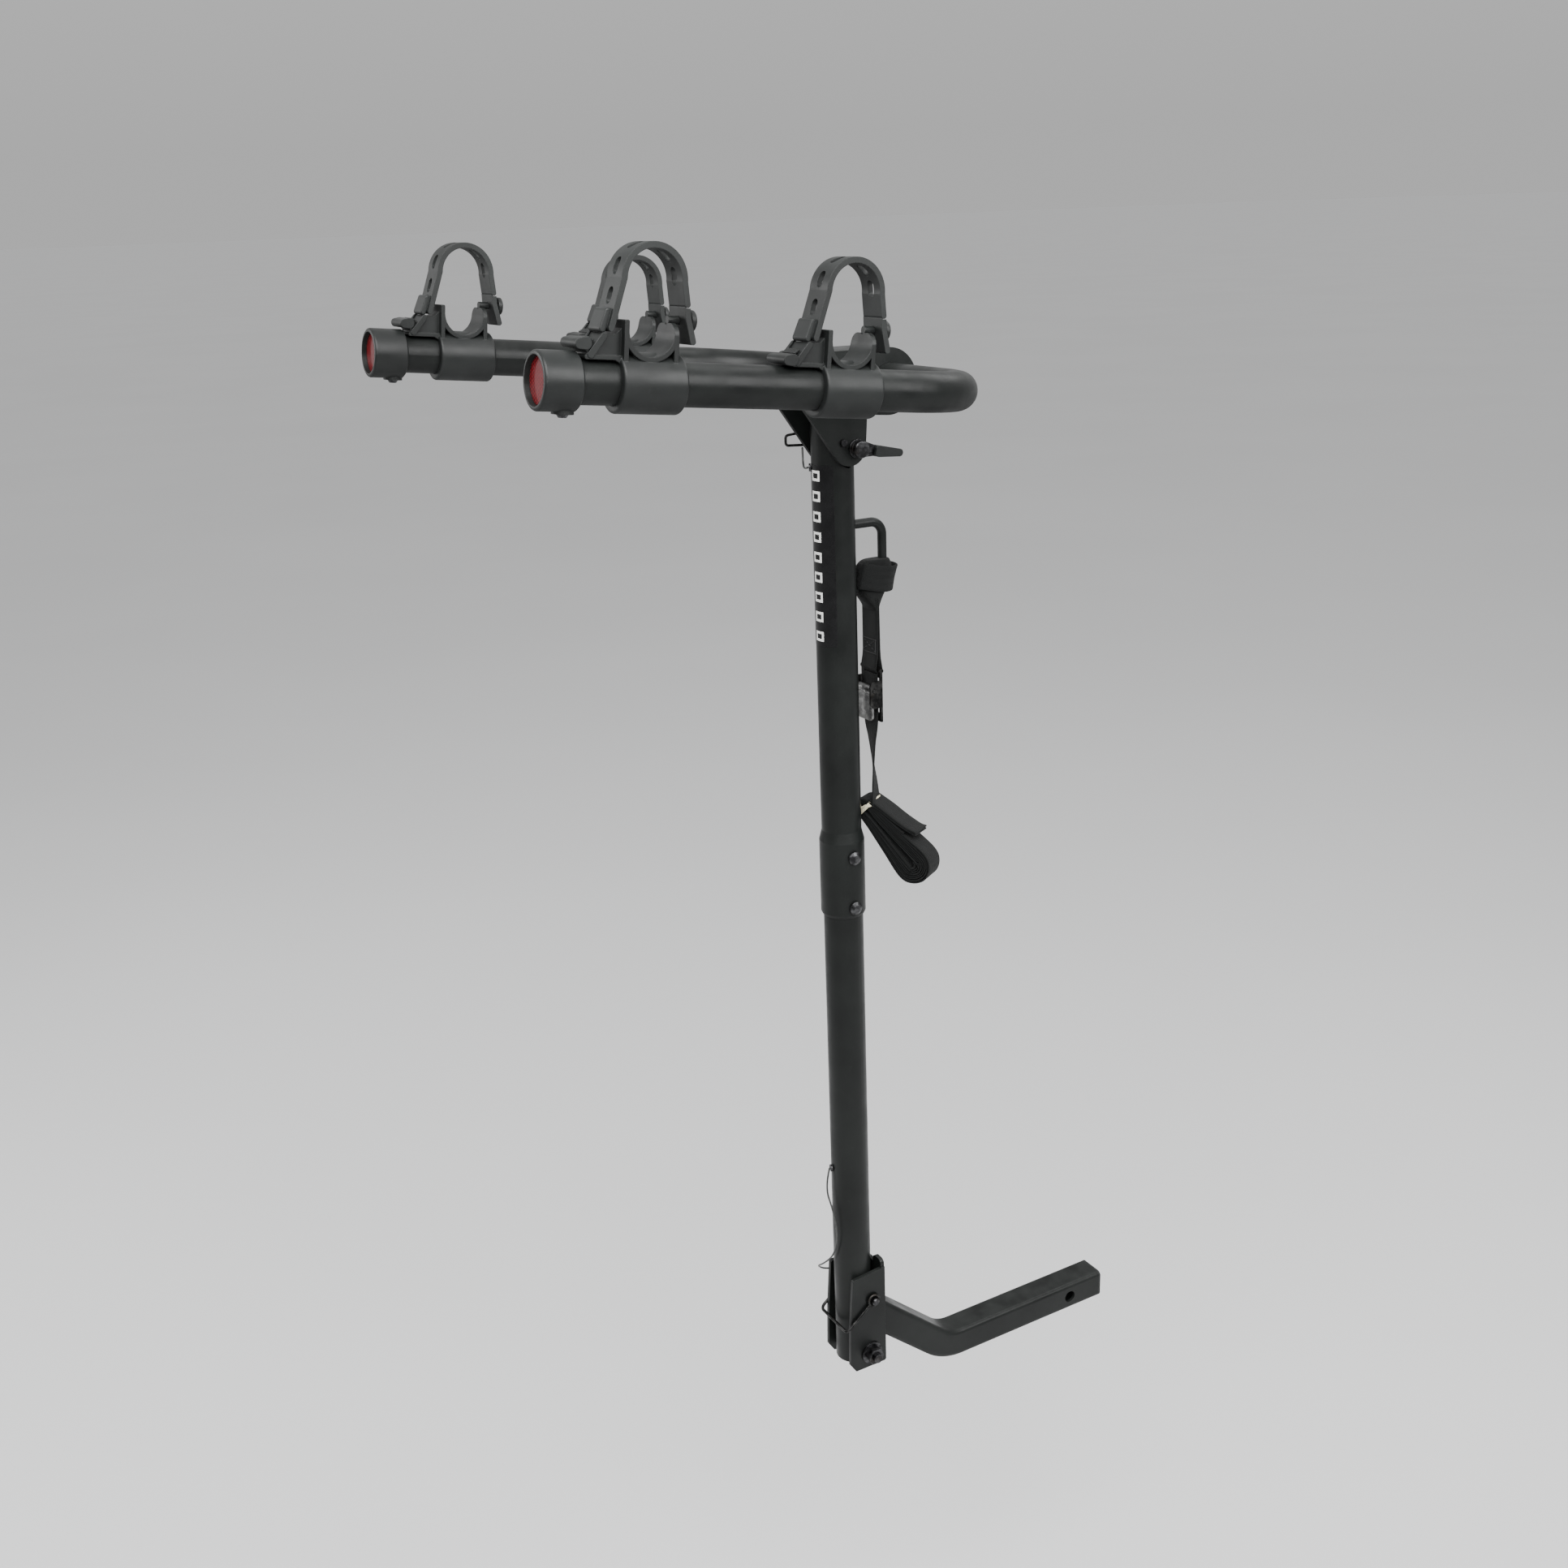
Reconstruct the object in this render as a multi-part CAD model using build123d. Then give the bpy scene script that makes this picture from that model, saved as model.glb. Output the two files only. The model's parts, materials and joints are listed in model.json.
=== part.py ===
from build123d import *
import math
import os

# Hitch mounted two-bike rack. Millimetres, +X forward into the receiver, +Y to the vehicle's left,
# +Z up. The origin is the centre of the hitch pin hole in the tongue.

# ---- driving dimensions -------------------------------------------------------------------------
TONGUE = 31.75
TONGUE_WALL = 3.2
TONGUE_CORNER = 5.0
TONGUE_END_X = 42.0
TONGUE_RISE_DEG = 41.0
TONGUE_BEND_R = 52.0
PIN_HOLE_R = 6.75

MAST_X = -280.0
MAST_R = 19.05
MAST_WALL = 2.1
FOOT_Z = 32.0
SLEEVE_Z0 = 538.0
SLEEVE_Z1 = 614.0
SHOULDER_Z = 624.0
SLEEVE_R = 21.6
SLEEVE_GAP = 0.1
LOWER_TUBE_TOP_Z = 606.0
JOINT_BOLT_Z = (549.0, 600.0)

PLATE_IN_Y = 19.6
PLATE_T = 4.0
PLATE_OUT_Y = PLATE_IN_Y + PLATE_T

LOW_PIVOT = (MAST_X + 6.7, 43.0)
LOW_PIVOT_R = 5.0
LOW_PIN = (MAST_X + 9.4, 107.0)
LOW_PIN_R = 4.0
BAIL_WIRE_R = 1.6
BAIL_REACH = 43.0
BAIL_DEG = 219.0

ARM_Z = 1041.6
ARM_TILT = 5.93
ARM_R = 15.875
ARM_WALL = 1.8
ARM_HALF = 185.0
HOOP_X = 46.0
HOOP_BEND_R = 88.0
ARM_END_X = -343.0

TOP_PIVOT = (MAST_X + 10.2, ARM_Z - 59.4)
TOP_PIVOT_R = 5.0
TOP_PIN = (MAST_X - 3.5, ARM_Z - 53.5)
TOP_PIN_R = 3.0
FOLD_DEG = 94.0
MAST_TOP_Z = ARM_Z - 23.0

CRADLE_X = (-269.0, -105.0)
CRADLE_HALF = 25.0
CRADLE_R = 21.3
CRADLE_WIDTH = 30.0
SADDLE_R = 17.5
SADDLE_AT = (-2.5, 36.0)
SADDLE_WALL = 3.5
SADDLE_LIP_Z = 42.0
POST_TOP_Z = 43.0
GRIP_Z = (26.2, 20.6)

STRAP_WIDTH = 25.0
STRAP_T = 4.4
STRAP_ARC_R = 23.0
STRAP_ARC_AT = (-0.5, 70.4)
STRAP_END = (-32.3, 34.5)
SLOT_TURNS = (-71, -24, 37, 81)
SLOT_LOW = (-26.9, 58.0)
STRAP_HINGE = (25.2, 55.0)
STRAP_TAIL_END = (30.6, 30.0)
BUTTON_Z = 44.0

CAP_R = 20.7
CAP_FRONT_X = -352.5
CAP_BACK_X = -323.0
REFLECTOR_R = 17.4

HOOK_R = 4.2
HOOK_Z0 = 852.0
HOOK_Z1 = 911.0
HOOK_OUT = 51.0

RIVETS = ((259.0, 169.0), (ARM_Z - 76.6, 152.0))
RIVET_R = 1.6

BUCKLE_X = MAST_X + 37.5
HANK_AT = (MAST_X + 40.5, 613.0)
HANK_OUT = 16.6
HANK_TURN = -60.0
HANK_DIP = 45.0
CAM_AXIS = (MAST_X + 29.6, 757.0)

WEB_WIDTH = 25.0
WEB_T = 1.8

LANYARD_R = 0.9

ARM_PLACE = Pos(MAST_X, 0, ARM_Z) * Rot(0, ARM_TILT, 0)


# ---- small builders -----------------------------------------------------------------------------
def bar_y(x, z, r, y0, y1):
    """Round bar along Y."""
    return Pos(x, (y0 + y1) / 2, z) * Rot(90, 0, 0) * Cylinder(r, y1 - y0)


def bar_x(y, z, r, x0, x1):
    """Round bar along X."""
    return Pos((x0 + x1) / 2, y, z) * Rot(0, 90, 0) * Cylinder(r, x1 - x0)


def bar_z(x, y, r, z0, z1):
    """Round bar along Z."""
    return Pos(x, y, (z0 + z1) / 2) * Cylinder(r, z1 - z0)


def block(x0, x1, y0, y1, z0, z1):
    """Axis-aligned box from its limits."""
    return Pos((x0 + x1) / 2, (y0 + y1) / 2, (z0 + z1) / 2) * Box(x1 - x0, y1 - y0, z1 - z0)


def prism_y(face, y0, y1):
    """Solid from an XZ outline, between two Y planes."""
    return extrude(Plane.XZ.offset(-y1) * face, amount=y1 - y0)


def outline(points):
    """Closed straight-sided face."""
    return make_face(Polyline(*points, close=True))


def disc(x, z, r):
    """Circle face at an XZ point."""
    return Pos(x, z) * Circle(r)


def hull_of(*faces):
    """Tangent outline wrapped round several faces."""
    edges = []
    for face in faces:
        edges.extend(face.edges())
    return make_hull(edges)


def wire_solid(points, radii, r):
    """Round wire along straight runs joined by tangent arcs."""
    path = FilletPolyline(*points, radius=radii)
    start = Plane(origin=path @ 0, z_dir=path % 0)
    return sweep(start * Circle(r), path=path)


def hex_y(x, z, across, y0, y1):
    """Hexagon prism along Y."""
    return prism_y(Pos(x, z) * RegularPolygon(across / math.sqrt(3), 6), y0, y1)


# ---- tongue and lower bracket -------------------------------------------------------------------
def tongue():
    rise = math.radians(TONGUE_RISE_DEG)
    low_x = MAST_X + 110.5
    back_x = MAST_X + 10.0
    top = (back_x, 0, (low_x - back_x) * math.tan(rise))
    path = FilletPolyline((TONGUE_END_X, 0, 0), (low_x, 0, 0), top, radius=TONGUE_BEND_R)
    start = Plane(origin=path @ 0, z_dir=path % 0)
    inner = TONGUE - 2 * TONGUE_WALL
    section = RectangleRounded(TONGUE, TONGUE, TONGUE_CORNER) - RectangleRounded(inner, inner, 2.0)
    bar = sweep(start * section, path=path)
    bar -= block(MAST_X - 60, MAST_X + 25.0, -40, 40, -40, 200)
    bar -= bar_y(0, 0, PIN_HOLE_R, -30, 30)
    return bar


def tongue_plug():
    inner = TONGUE - 2 * TONGUE_WALL
    stub = extrude(Plane.YZ.offset(TONGUE_END_X - 14) * RectangleRounded(inner - 0.1, inner - 0.1, 2.0), amount=14)
    lip = extrude(Plane.YZ.offset(TONGUE_END_X + 0.05) * RectangleRounded(TONGUE, TONGUE, 5.0), amount=2.5)
    plug = stub + lip + block(TONGUE_END_X - 2, TONGUE_END_X + 1, -8, 8, -8, 8)
    return plug


def lower_bracket():
    side = outline([(-14, 137), (24.9, 140.5), (24.9, 26), (-12.5, 26), (-19, 36), (-18, 80)])
    side = fillet(side.vertices(), 2.5)
    side = Pos(MAST_X, 0) * side
    body = prism_y(side, PLATE_IN_Y, PLATE_OUT_Y) + prism_y(side, -PLATE_OUT_Y, -PLATE_IN_Y)
    body += block(MAST_X + 20.6, MAST_X + 24.9, -PLATE_OUT_Y, PLATE_OUT_Y, 28, 141)
    ear = Plane.YZ.offset(MAST_X + 20.6) * (Pos(-15, 141) * RectangleRounded(15, 16, 5.0))
    body += extrude(ear, amount=4.3)
    body -= bar_y(LOW_PIVOT[0], LOW_PIVOT[1], LOW_PIVOT_R + 0.03, -30, 30)
    body -= bar_y(LOW_PIN[0], LOW_PIN[1], LOW_PIN_R + 0.07, -30, 30)
    return body


def low_pivot_bolt():
    x, z = LOW_PIVOT
    shank = bar_y(x, z, LOW_PIVOT_R, -PLATE_OUT_Y - 14.0, PLATE_OUT_Y + 2.1)
    head = hex_y(x, z, 16.0, PLATE_OUT_Y + 2.1, PLATE_OUT_Y + 8.5)
    return shank + head


def low_pivot_nut():
    x, z = LOW_PIVOT
    y0 = -PLATE_OUT_Y - 2.1
    nut = hex_y(x, z, 16.0, y0 - 8.0, y0)
    return nut - bar_y(x, z, LOW_PIVOT_R, y0 - 20, y0 + 10)


def low_pivot_washers():
    x, z = LOW_PIVOT
    ring = bar_y(x, z, 12.0, PLATE_OUT_Y, PLATE_OUT_Y + 2.0) - bar_y(x, z, LOW_PIVOT_R, 0, 60)
    return ring + mirror(ring, about=Plane.XZ)


def low_lock_pin():
    x, z = LOW_PIN
    pin = bar_y(x, z, LOW_PIN_R, -PLATE_OUT_Y - 7.5, PLATE_OUT_Y + 6.0)
    tip = pin.faces().sort_by(Axis.Y)[0]
    pin = chamfer(tip.edges(), 1.2)
    head = bar_y(x, z, 7.5, PLATE_OUT_Y + 5.0, PLATE_OUT_Y + 15.0)
    head = fillet(head.edges(), 2.0)
    tab = block(x - 1.5, x + 1.5, PLATE_OUT_Y + 14.0, PLATE_OUT_Y + 21.5, z - 4, z + 4)
    hole = bar_x(PLATE_OUT_Y + 18.0, z, 1.5, x - 10, x + 10)
    return pin + head + (tab - hole)


def bail_eye(y):
    """Wire ring round the lock pin."""
    x, z = LOW_PIN
    ring_r = LOW_PIN_R + 0.35 + BAIL_WIRE_R
    return Pos(x, y, z) * Rot(90, 0, 0) * Torus(ring_r, BAIL_WIRE_R)


def pin_bail():
    x, z = LOW_PIN
    a = math.radians(BAIL_DEG)
    dx = math.cos(a)
    dz = math.sin(a)
    ring_r = LOW_PIN_R + 0.35 + BAIL_WIRE_R
    y_far = PLATE_OUT_Y + 0.4 + BAIL_WIRE_R
    y_near = -y_far
    start = (x + dx * ring_r, y_far, z + dz * ring_r)
    corner_far = (x + dx * BAIL_REACH, y_far, z + dz * BAIL_REACH)
    corner_near = (x + dx * BAIL_REACH, y_near, z + dz * BAIL_REACH)
    end = (x + dx * ring_r, y_near, z + dz * ring_r)
    loop = wire_solid([start, corner_far, corner_near, end], 5.0, BAIL_WIRE_R)
    return loop + bail_eye(y_far) + bail_eye(y_near)


# ---- mast ---------------------------------------------------------------------------------------
def tube_z(r, wall, z0, z1):
    return bar_z(MAST_X, 0, r, z0, z1) - bar_z(MAST_X, 0, r - wall, z0 - 1, z1 + 1)


def lower_mast():
    tube = tube_z(MAST_R, MAST_WALL, FOOT_Z, LOWER_TUBE_TOP_Z)
    px, pz = LOW_PIVOT
    corner = [(px + 12.2, pz + 1), (px + 30, pz + 1), (px + 30, pz - 30), (px + 4, pz - 30), (px + 4, pz - 11)]
    tube -= prism_y(outline(corner), -30, 30)
    tube -= bar_y(px, pz, LOW_PIVOT_R + 0.06, -30, 30)
    # Slot that leaves the lock pin free while the mast tips back; its mouth faces the bracket.
    hx, hz = LOW_PIN
    half = LOW_PIN_R + 0.3
    rim = math.hypot(hx - px, hz - pz)
    band = disc(px, pz, rim + half) - disc(px, pz, rim - half)
    band &= Pos(hx + 15, hz) * Rectangle(30, 40)
    tube -= prism_y(band, -30, 30)
    tube -= bar_y(hx, hz, half, -30, 30)
    for z in JOINT_BOLT_Z:
        tube -= bar_y(MAST_X, z, 4.1, -30, 30)
    return tube - rivet_stem(*RIVETS[0])


def upper_mast():
    bore_r = MAST_R + SLEEVE_GAP
    outer = [(0, SLEEVE_Z0), (SLEEVE_R - 1.5, SLEEVE_Z0), (SLEEVE_R, SLEEVE_Z0 + 3), (SLEEVE_R, SLEEVE_Z1)]
    outer += [(MAST_R, SHOULDER_Z), (MAST_R, MAST_TOP_Z), (0, MAST_TOP_Z)]
    inner = [(0, SLEEVE_Z0 - 1), (bore_r, SLEEVE_Z0 - 1), (bore_r, SLEEVE_Z1 - 4)]
    inner += [(MAST_R - MAST_WALL, SHOULDER_Z - 4), (MAST_R - MAST_WALL, MAST_TOP_Z + 1), (0, MAST_TOP_Z + 1)]
    solid = revolve(Plane.XZ * outline(outer), axis=Axis.Z)
    solid -= revolve(Plane.XZ * outline(inner), axis=Axis.Z)
    solid = Pos(MAST_X, 0, 0) * solid
    for z in JOINT_BOLT_Z:
        solid -= bar_y(MAST_X, z, 4.1, -30, 30)
    px, pz = TOP_PIVOT
    solid -= bar_y(px, pz, TOP_PIVOT_R + 0.06, -30, 30)
    solid -= prism_y(top_pin_slot(), -30, 30)
    return solid - rivet_stem(*RIVETS[1])


def top_pin_slot():
    """Curved slot that the arm lock pin follows while the arms fold."""
    px, pz = TOP_PIVOT
    hx, hz = TOP_PIN
    rim = math.hypot(hx - px, hz - pz)
    half = TOP_PIN_R + 0.3
    a0 = math.degrees(math.atan2(hz - pz, hx - px))
    mid = math.radians(a0 + FOLD_DEG / 2)
    end = math.radians(a0 + FOLD_DEG)
    p0 = (hx, hz)
    p1 = (px + rim * math.cos(mid), pz + rim * math.sin(mid))
    p2 = (px + rim * math.cos(end), pz + rim * math.sin(end))
    return SlotArc(ThreePointArc(p0, p1, p2), 2 * half)


def mast_cap():
    """Plastic plug in the open top of the mast."""
    z = MAST_TOP_Z
    stub = bar_z(MAST_X, 0, MAST_R - MAST_WALL - 0.05, z - 12, z)
    top = bar_z(MAST_X, 0, MAST_R, z + 0.05, z + 3)
    return fillet(top.edges().sort_by(Axis.Z)[-1], 1.5) + stub + bar_z(MAST_X, 0, 10, z - 2, z + 1)


def joint_bolts():
    body = None
    for z in JOINT_BOLT_Z:
        shank = bar_y(MAST_X, z, 4.0, -SLEEVE_R - 0.5, SLEEVE_R + 9.0)
        head = Pos(MAST_X, -SLEEVE_R - 0.2, z) * Rot(90, 0, 0) * Cylinder(6.6, 2.0, align=(Align.CENTER, Align.CENTER, Align.MIN))
        dome = Pos(MAST_X, -SLEEVE_R - 2.2, z) * Rot(90, 0, 0) * Cone(6.6, 3.4, 1.8, align=(Align.CENTER, Align.CENTER, Align.MIN))
        body = shank + head + dome if body is None else body + shank + head + dome
    return body


def joint_nuts():
    body = None
    for z in JOINT_BOLT_Z:
        nut = hex_y(MAST_X, z, 13.0, SLEEVE_R + 0.2, SLEEVE_R + 7.0) - bar_y(MAST_X, z, 4.0, 0, 60)
        body = nut if body is None else body + nut
    return body


def rivet_plane(z, deg):
    """Plane square to the mast, just inside its wall."""
    c = math.cos(math.radians(deg))
    s = math.sin(math.radians(deg))
    return Plane(origin=(MAST_X + c * (MAST_R - 3.0), s * (MAST_R - 3.0), z), z_dir=(c, s, 0))


def rivet_stem(z, deg):
    return rivet_plane(z, deg) * Cylinder(RIVET_R, 4.0, align=(Align.CENTER, Align.CENTER, Align.MIN))


def cable_rivets():
    body = None
    for z, deg in RIVETS:
        at = rivet_plane(z, deg)
        cap = at.offset(3.4) * Cylinder(3.6, 1.6, align=(Align.CENTER, Align.CENTER, Align.MIN))
        rivet = rivet_stem(z, deg) + cap
        body = rivet if body is None else body + rivet
    return body


def mast_label():
    """Thin glossy label on the rear of the mast."""
    r0 = MAST_R + 0.02
    ring = bar_z(MAST_X, 0, r0 + 0.25, 805, 968) - bar_z(MAST_X, 0, r0, 800, 975)
    film = ring & block(MAST_X - 30, MAST_X - 9.4, -16.6, 16.6, 800, 980)
    return film - rivet_plane(*RIVETS[1]) * Cylinder(4.4, 16.0)


def hook_rod(r):
    x0 = MAST_X + MAST_R - 1.2
    x1 = MAST_X + HOOK_OUT
    pts = [(x0, 0, HOOK_Z1), (x1, 0, HOOK_Z1), (x1, 0, HOOK_Z0), (x0, 0, HOOK_Z0)]
    return wire_solid(pts, 12.0, r)


def strap_hook():
    """Bent rod loop welded to the front of the mast."""
    return hook_rod(HOOK_R) - bar_z(MAST_X, 0, MAST_R + 0.01, 800, 950)


# ---- tie strap hung on the mast hook ------------------------------------------------------------
def tie_loop():
    """Webbing wrapped round the hook rod and gathered under it."""
    x = MAST_X + HOOK_OUT
    wrap = bar_z(x, 0, HOOK_R + 4.6, 858, 886)
    sides = [(BUCKLE_X - 1.8, 838), (BUCKLE_X + 1.8, 838), (x + 9, 862), (x + 4, 876), (x - 12, 872), (x - 24, 848)]
    throat = prism_y(outline(sides), -11.0, 11.0)
    throat = fillet(throat.edges().filter_by(Axis.Y), 1.4)
    body = wrap + throat - block(MAST_X, MAST_X + 80, -20, 20, 820, 838.6)
    return body - hook_rod(HOOK_R + 0.3)


def tie_strap_upper():
    """Doubled webbing from the loop down to the bar it is sewn round."""
    strap = block(BUCKLE_X - WEB_T, BUCKLE_X + WEB_T, -WEB_WIDTH / 2, WEB_WIDTH / 2, 776.05, 838.6)
    return strap - bar_y(BUCKLE_X, 775, 2.2, -20, 20)


def buckle_frame():
    x = BUCKLE_X
    plate = Pos(x, 0, 751) * Box(2.0, 33, 50)
    plate -= Pos(x, 0, 751) * Box(6.0, 27, 34)
    cheek = block(x - 12.5, x + 1.0, 14.5, 16.5, 740, 766)
    cheek = fillet(cheek.edges().filter_by(Axis.Y).sort_by(Axis.X)[:2], 5.0)
    body = plate + cheek + mirror(cheek, about=Plane.XZ) + bar_y(x, 775, 2.2, -16.5, 16.5)
    return body - bar_y(CAM_AXIS[0], CAM_AXIS[1], 2.0, -20, 20)


def buckle_pin():
    return bar_y(CAM_AXIS[0], CAM_AXIS[1], 2.0, -17.2, 17.2)


def buckle_cam():
    """Toothed cam with its thumb plate hanging under it."""
    x, z = CAM_AXIS
    drum = bar_y(x, z, 4.0, -14.2, 14.2)
    thumb = block(x - 1.2, x + 1.2, -13.0, 13.0, z - 30, z - 2)
    thumb = fillet(thumb.edges().filter_by(Axis.X).group_by(Axis.Z)[0], 5.0)
    return drum + thumb - bar_y(x, z, 2.06, -20, 20)


def tie_strap_tail():
    """Single webbing: flat through the buckle, then turned and hanging to the hank."""
    x = BUCKLE_X - 1.0
    flat = block(x - WEB_T, x, -WEB_WIDTH / 2, WEB_WIDTH / 2, 722, 765)
    hang = Pos(MAST_X + 37.6, 0, 680) * Rot(0, -2.7, 0) * Rot(0, 0, 45) * Box(WEB_WIDTH, WEB_T, 89)
    return flat + hang - hank_slab()


def hank_place():
    """Frame of the hank: X along it, Y along the webbing's width."""
    return Pos(HANK_AT[0], 0, HANK_AT[1]) * Rot(0, 0, HANK_TURN) * Pos(HANK_OUT, 0, 0) * Rot(0, HANK_DIP, 0)


def hank_slab():
    """Spare webbing folded back on itself into a flat hank, pinched at its upper end."""
    face = hull_of(disc(-37, 0, 8), disc(36, 0, 20))
    return hank_place() * prism_y(face, -12.5, 12.5)


def bundle_band():
    """Narrow elastic band round the upper end of the hank."""
    at = hank_place() * Pos(-35, 0, 0)
    ring = at * Box(6, 27.6, 19.4)
    return ring - at * Box(20, 25.0, 16.8)


# ---- arms ---------------------------------------------------------------------------------------
def hoop_path():
    pts = [(ARM_END_X, -ARM_HALF, 0), (HOOP_X, -ARM_HALF, 0), (HOOP_X, ARM_HALF, 0), (ARM_END_X, ARM_HALF, 0)]
    return FilletPolyline(*pts, radius=HOOP_BEND_R)


def arm_hoop():
    path = hoop_path()
    start = Plane(origin=path @ 0, z_dir=path % 0)
    tube = sweep(start * (Circle(ARM_R) - Circle(ARM_R - ARM_WALL)), path=path)
    return ARM_PLACE * tube


def cross_centre():
    t = math.radians(ARM_TILT)
    return (MAST_X + HOOP_X * math.cos(t), ARM_Z - HOOP_X * math.sin(t))


def arm_bracket():
    """Folded plate: two cheeks either side of the mast and a web over the hoop's cross tube."""
    cx, cz = cross_centre()
    lobe = disc(cx, cz, 29.0)
    rear = disc(MAST_X - 35, ARM_Z - 18, 8.0)
    top = disc(MAST_X - 33, ARM_Z + 16, 8.5)
    foot = disc(MAST_X + 4, ARM_Z - 58, 16.5)
    upper = hull_of(rear, top, lobe)
    lower = hull_of(foot, rear, disc(MAST_X + 8, ARM_Z - 20, 15))
    cheek = upper + lower
    body = prism_y(cheek, PLATE_IN_Y, PLATE_OUT_Y) + prism_y(cheek, -PLATE_OUT_Y, -PLATE_IN_Y)
    rim = upper - offset(upper, amount=-PLATE_T)
    rim -= Pos(MAST_X, ARM_Z - 30) * Rectangle(200, 46)
    rim -= Pos(MAST_X - 40, ARM_Z + 5) * Rectangle(20, 30)
    body += prism_y(rim, -PLATE_IN_Y - 1, PLATE_IN_Y + 1)
    body -= bar_y(cx, cz, ARM_R + 0.02, -40, 40)
    body -= bar_y(TOP_PIVOT[0], TOP_PIVOT[1], TOP_PIVOT_R + 0.03, -40, 40)
    body -= bar_y(TOP_PIN[0], TOP_PIN[1], TOP_PIN_R + 0.07, -40, 40)
    return body


def top_pivot_bolt():
    x, z = TOP_PIVOT
    shank = bar_y(x, z, TOP_PIVOT_R, -PLATE_OUT_Y - 7.0, PLATE_OUT_Y + 9.0)
    head = bar_y(x, z, 7.6, -PLATE_OUT_Y - 11.0, -PLATE_OUT_Y - 6.0)
    head = fillet(head.edges().sort_by(Axis.Y)[0], 1.5)
    return shank + head


def top_pivot_nut():
    x, z = TOP_PIVOT
    y0 = PLATE_OUT_Y + 0.05
    return hex_y(x, z, 16.0, y0, y0 + 8.0) - bar_y(x, z, TOP_PIVOT_R, 0, 60)


def release_lever():
    """Sprung latch lever on the arm pivot bolt."""
    x, z = TOP_PIVOT
    blade = hull_of(disc(x, z, 8.2), disc(x + 19, z - 3.5, 4.2))
    y1 = -PLATE_OUT_Y - 0.35
    plate = prism_y(blade, y1 - 2.4, y1)
    tang = prism_y(hull_of(disc(x + 17, z - 3.4, 2.6), disc(x + 31, z - 5.5, 2.2)), y1 - 2.4, y1)
    return plate + tang - bar_y(x, z, TOP_PIVOT_R + 0.06, -60, 0)


def lever_grip():
    x, z = TOP_PIVOT
    y1 = -PLATE_OUT_Y - 0.35
    hand = hull_of(disc(x + 20.5, z - 3.9, 5.0), disc(x + 41.5, z - 7.0, 3.4))
    body = prism_y(hand, y1 - 6.2, y1 + 3.2) - prism_y(disc(x, z, 17.2), y1 - 20, y1 + 20)
    body -= prism_y(hull_of(disc(x + 17, z - 3.4, 2.6), disc(x + 31, z - 5.5, 2.2)), y1 - 2.4, y1)
    body -= prism_y(hull_of(disc(x, z, 8.2), disc(x + 19, z - 3.5, 4.2)), y1 - 2.4, y1)
    return fillet(body.edges().filter_by(GeomType.CIRCLE).sort_by(Axis.X)[-1], 0.6)


def lever_spring():
    """Torsion spring between the lever and the bolt head, one leg lying along the lever."""
    x, z = TOP_PIVOT
    y0 = -PLATE_OUT_Y - 5.0
    helix = Helix(pitch=1.8 / 1.75, height=1.8, radius=5.95, lefthand=True)
    coil = sweep(Plane(origin=helix @ 0, z_dir=helix % 0) * Circle(0.45), path=helix, is_frenet=True)
    coil = Pos(x, y0, z) * Rot(-90, 0, 0) * coil
    return coil + bar_x(y0 + 1.8, z - 5.95, 0.45, x - 0.2, x + 14)


def top_lock_pin():
    x, z = TOP_PIN
    pin = bar_y(x, z, TOP_PIN_R, -PLATE_OUT_Y - 3.0, PLATE_OUT_Y + 5.0)
    head = bar_y(x, z, 5.0, PLATE_OUT_Y + 0.6, PLATE_OUT_Y + 5.5)
    head = chamfer(head.edges(), 0.8)
    tab = block(x - 4, x + 4, PLATE_OUT_Y + 5.0, PLATE_OUT_Y + 12.0, z - 1.8, z + 1.8)
    return pin + head + tab - bar_z(x, PLATE_OUT_Y + 8.5, 1.45, z - 10, z + 10)


def top_pin_ring():
    """Oval wire pull ring through the head of the arm lock pin."""
    x, z = TOP_PIN
    y = PLATE_OUT_Y + 8.5
    pts = [(x - 12, y, z + 4.8), (x, y, z + 4.8), (x, y, z - 6.6), (x - 25, y, z - 5.2), (x - 25, y, z + 3.6)]
    path = FilletPolyline(*pts, close=True, radius=2.8)
    start = Plane(origin=path @ 0, z_dir=path % 0)
    return sweep(start * Circle(1.2), path=path)


def end_cap():
    body = bar_x(0, 0, CAP_R, CAP_FRONT_X, CAP_BACK_X)
    body = fillet(body.edges().sort_by(Axis.X)[0], 2.2)
    body = chamfer(body.edges().sort_by(Axis.X)[-1], 1.2)
    body += Pos(-331, 0, -CAP_R + 3) * Cylinder(8.0, 9.0)
    body -= bar_x(0, 0, REFLECTOR_R + 0.05, CAP_FRONT_X - 5, -345.5)
    body -= bar_x(0, 0, ARM_R + 0.03, ARM_END_X - 0.2, CAP_BACK_X + 5)
    body -= Pos(-331, 0, -20) * Cylinder(1.7, 20)
    return body


def reflector():
    lens = bar_x(0, 0, REFLECTOR_R, -348.6, -345.5)
    return fillet(lens.edges().sort_by(Axis.X)[0], 0.8)


def cap_screw():
    head = Pos(-331, 0, -CAP_R - 2.7) * Cone(3.0, 4.6, 2.4)
    shank = Pos(-331, 0, -CAP_R + 1.0) * Cylinder(1.6, 5.4)
    return head + shank


def both_arms(maker):
    one = maker()
    return ARM_PLACE * (Pos(0, -ARM_HALF, 0) * one + Pos(0, ARM_HALF, 0) * one)


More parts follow.
